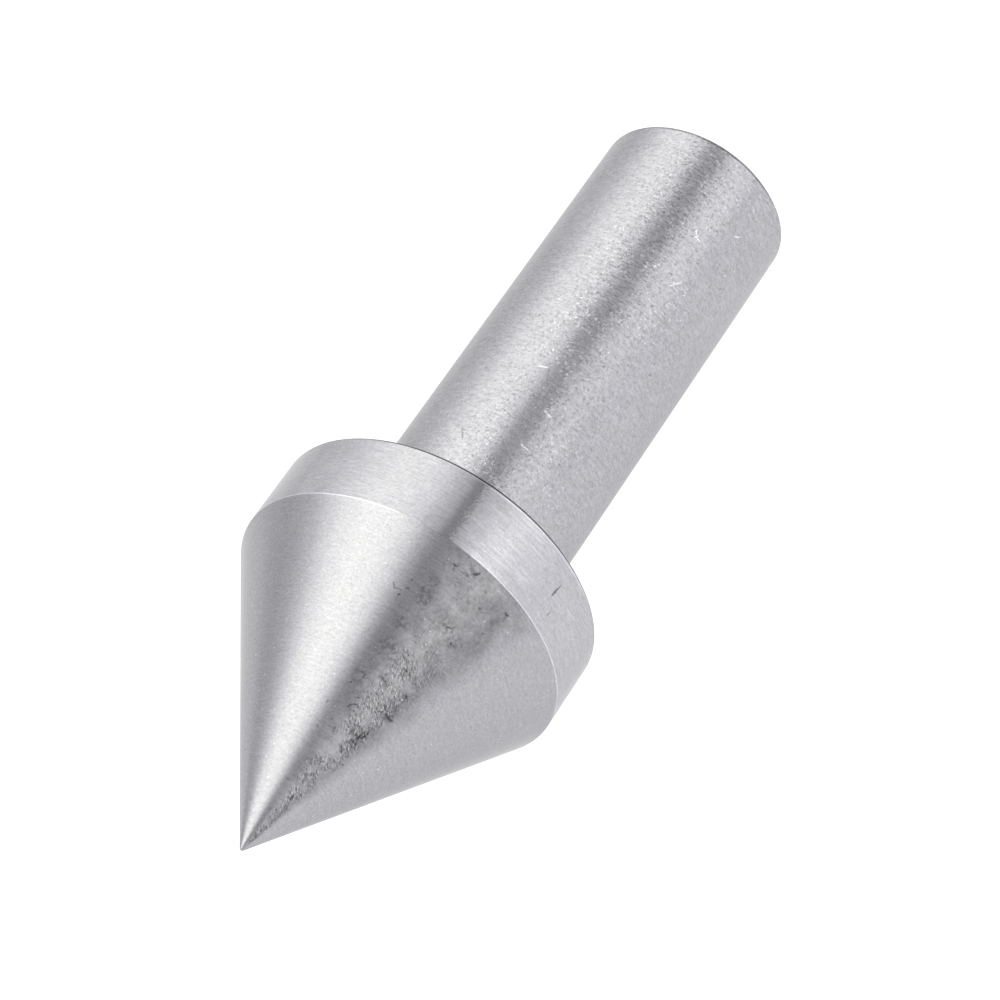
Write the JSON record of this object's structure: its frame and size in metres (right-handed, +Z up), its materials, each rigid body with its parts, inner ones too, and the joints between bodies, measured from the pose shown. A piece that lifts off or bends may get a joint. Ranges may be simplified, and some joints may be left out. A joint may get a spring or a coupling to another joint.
{
  "type": "live center",
  "caption": "Straight-shank live center: a conical head turns on ball bearings in front of a plain round shank and centers work held in a lathe.",
  "frame": {"origin": "on the axis, in the plane of the head's back face, where the shank leaves the head", "axes": "+Y along the axis from the head towards the shank's free end, so the point faces -Y; +Z up"},
  "size_m": [0.02, 0.0543, 0.02],
  "materials": {
    "head_steel": "fine turned and polished, lines round the axis, some dark stain",
    "shank_steel": "satin, with many small bright nicks",
    "spring_steel": "dark spring steel",
    "bearing_rings": "ground",
    "bearing_balls": "lapped mirror",
    "pressed_sheet": "pressed sheet steel, satin"
  },
  "bodies": {
    "shank": {"shank": "shank_steel", "rear_bearing_inner_ring": "bearing_rings", "front_bearing_inner_ring": "bearing_rings", "journal_snap_ring": "spring_steel"},
    "head": {"head": "head_steel", "head_retaining_ring": "spring_steel", "rear_bearing_outer_ring": "bearing_rings", "rear_bearing_front_shield": "pressed_sheet", "rear_bearing_rear_shield": "pressed_sheet", "rear_bearing_front_shield_clip": "spring_steel", "rear_bearing_rear_shield_clip": "spring_steel", "front_bearing_outer_ring": "bearing_rings", "front_bearing_front_shield": "pressed_sheet", "front_bearing_rear_shield": "pressed_sheet"},
    "rear_cage": {"rear_bearing_balls": "bearing_balls", "rear_bearing_cage_front_half": "pressed_sheet", "rear_bearing_cage_rear_half": "pressed_sheet"},
    "front_cage": {"front_bearing_balls": "bearing_balls", "front_bearing_cage": "pressed_sheet"},
    "thrust_ball": {"thrust_ball": "bearing_balls"}
  },
  "joints": [
    {"name": "head_spin", "type": "hinge", "parent": "shank", "child": "head", "pos_m": [0, 0, 0], "axis": [0, 1, 0], "continuous": true},
    {"name": "rear_cage_spin", "type": "hinge", "parent": "shank", "child": "rear_cage", "pos_m": [0, 0, 0], "axis": [0, 1, 0], "continuous": true},
    {"name": "front_cage_spin", "type": "hinge", "parent": "shank", "child": "front_cage", "pos_m": [0, 0, 0], "axis": [0, 1, 0], "continuous": true},
    {"name": "thrust_ball_spin", "type": "hinge", "parent": "shank", "child": "thrust_ball", "pos_m": [0, 0, 0], "axis": [0, 1, 0], "continuous": true}
  ],
  "couplings": [
    {"joint": "rear_cage_spin", "follows": "head_spin", "ratio": 0.5992},
    {"joint": "front_cage_spin", "follows": "head_spin", "ratio": 0.5833},
    {"joint": "thrust_ball_spin", "follows": "head_spin", "ratio": 0.5}
  ]
}
